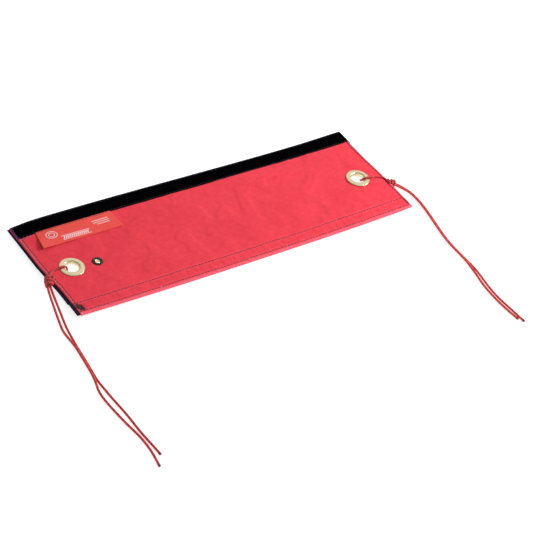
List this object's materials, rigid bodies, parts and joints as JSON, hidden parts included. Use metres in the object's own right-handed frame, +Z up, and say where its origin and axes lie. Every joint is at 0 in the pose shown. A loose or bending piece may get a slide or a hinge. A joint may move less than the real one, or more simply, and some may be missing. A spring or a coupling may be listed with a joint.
{
  "type": "wrap-around rope protector",
  "caption": "Padded canvas sleeve that wraps round a rope and closes with a hook-and-loop strip, with a tie cord through an eyelet at each end.",
  "frame": {"origin": "middle of the panel on the lining's lower face, as it lies open", "axes": "+X along the length of the panel, +Y across it to the edge with the hook strip, +Z up, out of the canvas face"},
  "size_m": [0.5059, 0.3622, 0.0112],
  "materials": {
    "canvas": "plain-weave heavy canvas, matt with a soft sheen",
    "lining": "tight plain weave, matt",
    "padding": "needled felt, matt",
    "closure": "woven tape with a short hooked or looped pile, matt",
    "thread": "polyester sewing thread, slight sheen",
    "label": "satin-woven polyester, slight sheen",
    "brass": "polished pale brass",
    "black_metal": "black gloss paint over steel",
    "cord": "braided polyamide accessory cord with dark flecks",
    "cord_tip": "cord melted into a hard tip, slightly glossy"
  },
  "bodies": {
    "spine": {"canvas_spine": "canvas", "lining_spine": "lining", "padding_spine": "padding", "end_thread_spine": "thread", "left_eyelet": "brass", "right_eyelet": "brass", "left_eyelet_washer": "brass", "right_eyelet_washer": "brass", "small_eyelet": "black_metal", "small_eyelet_liner": "brass", "left_cord_loop": "cord", "left_cord_knot": "cord", "right_cord_loop": "cord", "right_cord_knot": "cord"},
    "far_inner": {"canvas_far_inner": "canvas", "lining_far_inner": "lining", "padding_far_inner": "padding", "end_thread_far_inner": "thread"},
    "far_mid": {"canvas_far_mid": "canvas", "lining_far_mid": "lining", "padding_far_mid": "padding", "end_thread_far_mid": "thread"},
    "far_flap": {"canvas_far_flap": "canvas", "lining_far_flap": "lining", "hook_strip": "closure", "hook_strip_thread": "thread"},
    "near_inner": {"canvas_near_inner": "canvas", "lining_near_inner": "lining", "padding_near_inner": "padding", "end_thread_near_inner": "thread"},
    "near_mid": {"canvas_near_mid": "canvas", "lining_near_mid": "lining", "padding_near_mid": "padding", "end_thread_near_mid": "thread"},
    "near_flap": {"canvas_near_flap": "canvas", "lining_near_flap": "lining", "loop_strip": "closure", "loop_strip_thread": "thread", "corner_tack": "thread", "end_thread_near_flap": "thread"},
    "label": {"label": "label"},
    "left_tails": {"left_cord_tails": "cord"},
    "left_tail_ends": {"left_cord_tail_ends": "cord", "left_cord_tips": "cord_tip"},
    "right_tails": {"right_cord_tails": "cord"},
    "right_tail_ends": {"right_cord_tail_ends": "cord", "right_cord_tips": "cord_tip"}
  },
  "joints": [
    {"name": "far_inner_wrap", "type": "hinge", "parent": "spine", "child": "far_inner", "pos_m": [0, 0.008, 0], "axis": [-1, 0, 0], "range_deg": [0, 71.89], "stiffness_Nm_per_rad": 0.02},
    {"name": "far_mid_wrap", "type": "hinge", "parent": "far_inner", "child": "far_mid", "pos_m": [0, 0.028, 0], "axis": [-1, 0, 0], "range_deg": [0, 67.94]},
    {"name": "far_flap_wrap", "type": "hinge", "parent": "far_mid", "child": "far_flap", "pos_m": [0, 0.0545, 0], "axis": [-1, 0, 0], "range_deg": [0, 69.51]},
    {"name": "near_inner_wrap", "type": "hinge", "parent": "spine", "child": "near_inner", "pos_m": [0, -0.023, 0], "axis": [1, 0, 0], "range_deg": [0, 62.11], "stiffness_Nm_per_rad": 0.02},
    {"name": "near_mid_wrap", "type": "hinge", "parent": "near_inner", "child": "near_mid", "pos_m": [0, -0.0385, 0], "axis": [1, 0, 0], "range_deg": [0, 39.18]},
    {"name": "near_flap_wrap", "type": "hinge", "parent": "near_mid", "child": "near_flap", "pos_m": [0, -0.054, 0], "axis": [1, 0, 0], "range_deg": [0, 49.37]},
    {"name": "label_lift", "type": "hinge", "parent": "far_mid", "child": "label", "pos_m": [-0.157, 0.05445, 0.00455], "axis": [-1, 0, 0], "range_deg": [0, 150], "stiffness_Nm_per_rad": 0.0002},
    {"name": "left_tails_swing", "type": "hinge", "parent": "spine", "child": "left_tails", "pos_m": [-0.2361, -0.0255, -0.0015], "axis": [0, 0, 1], "range_deg": [-75, 10]},
    {"name": "left_tail_ends_lift", "type": "hinge", "parent": "left_tails", "child": "left_tail_ends", "pos_m": [-0.25, -0.15, 0], "axis": [-1, 0, 0], "range_deg": [0, 75]},
    {"name": "right_tails_swing", "type": "hinge", "parent": "spine", "child": "right_tails", "pos_m": [0.2404, -0.0288, -0.0015], "axis": [0, 0, 1], "range_deg": [-10, 75]},
    {"name": "right_tail_ends_lift", "type": "hinge", "parent": "right_tails", "child": "right_tail_ends", "pos_m": [0.232, -0.15, 0], "axis": [-1, 0, 0], "range_deg": [0, 75]}
  ],
  "couplings": [
    {"joint": "far_mid_wrap", "follows": "far_inner_wrap", "ratio": 0.945},
    {"joint": "far_flap_wrap", "follows": "far_inner_wrap", "ratio": 0.9668},
    {"joint": "near_mid_wrap", "follows": "near_inner_wrap", "ratio": 0.6308},
    {"joint": "near_flap_wrap", "follows": "near_inner_wrap", "ratio": 0.7948}
  ]
}
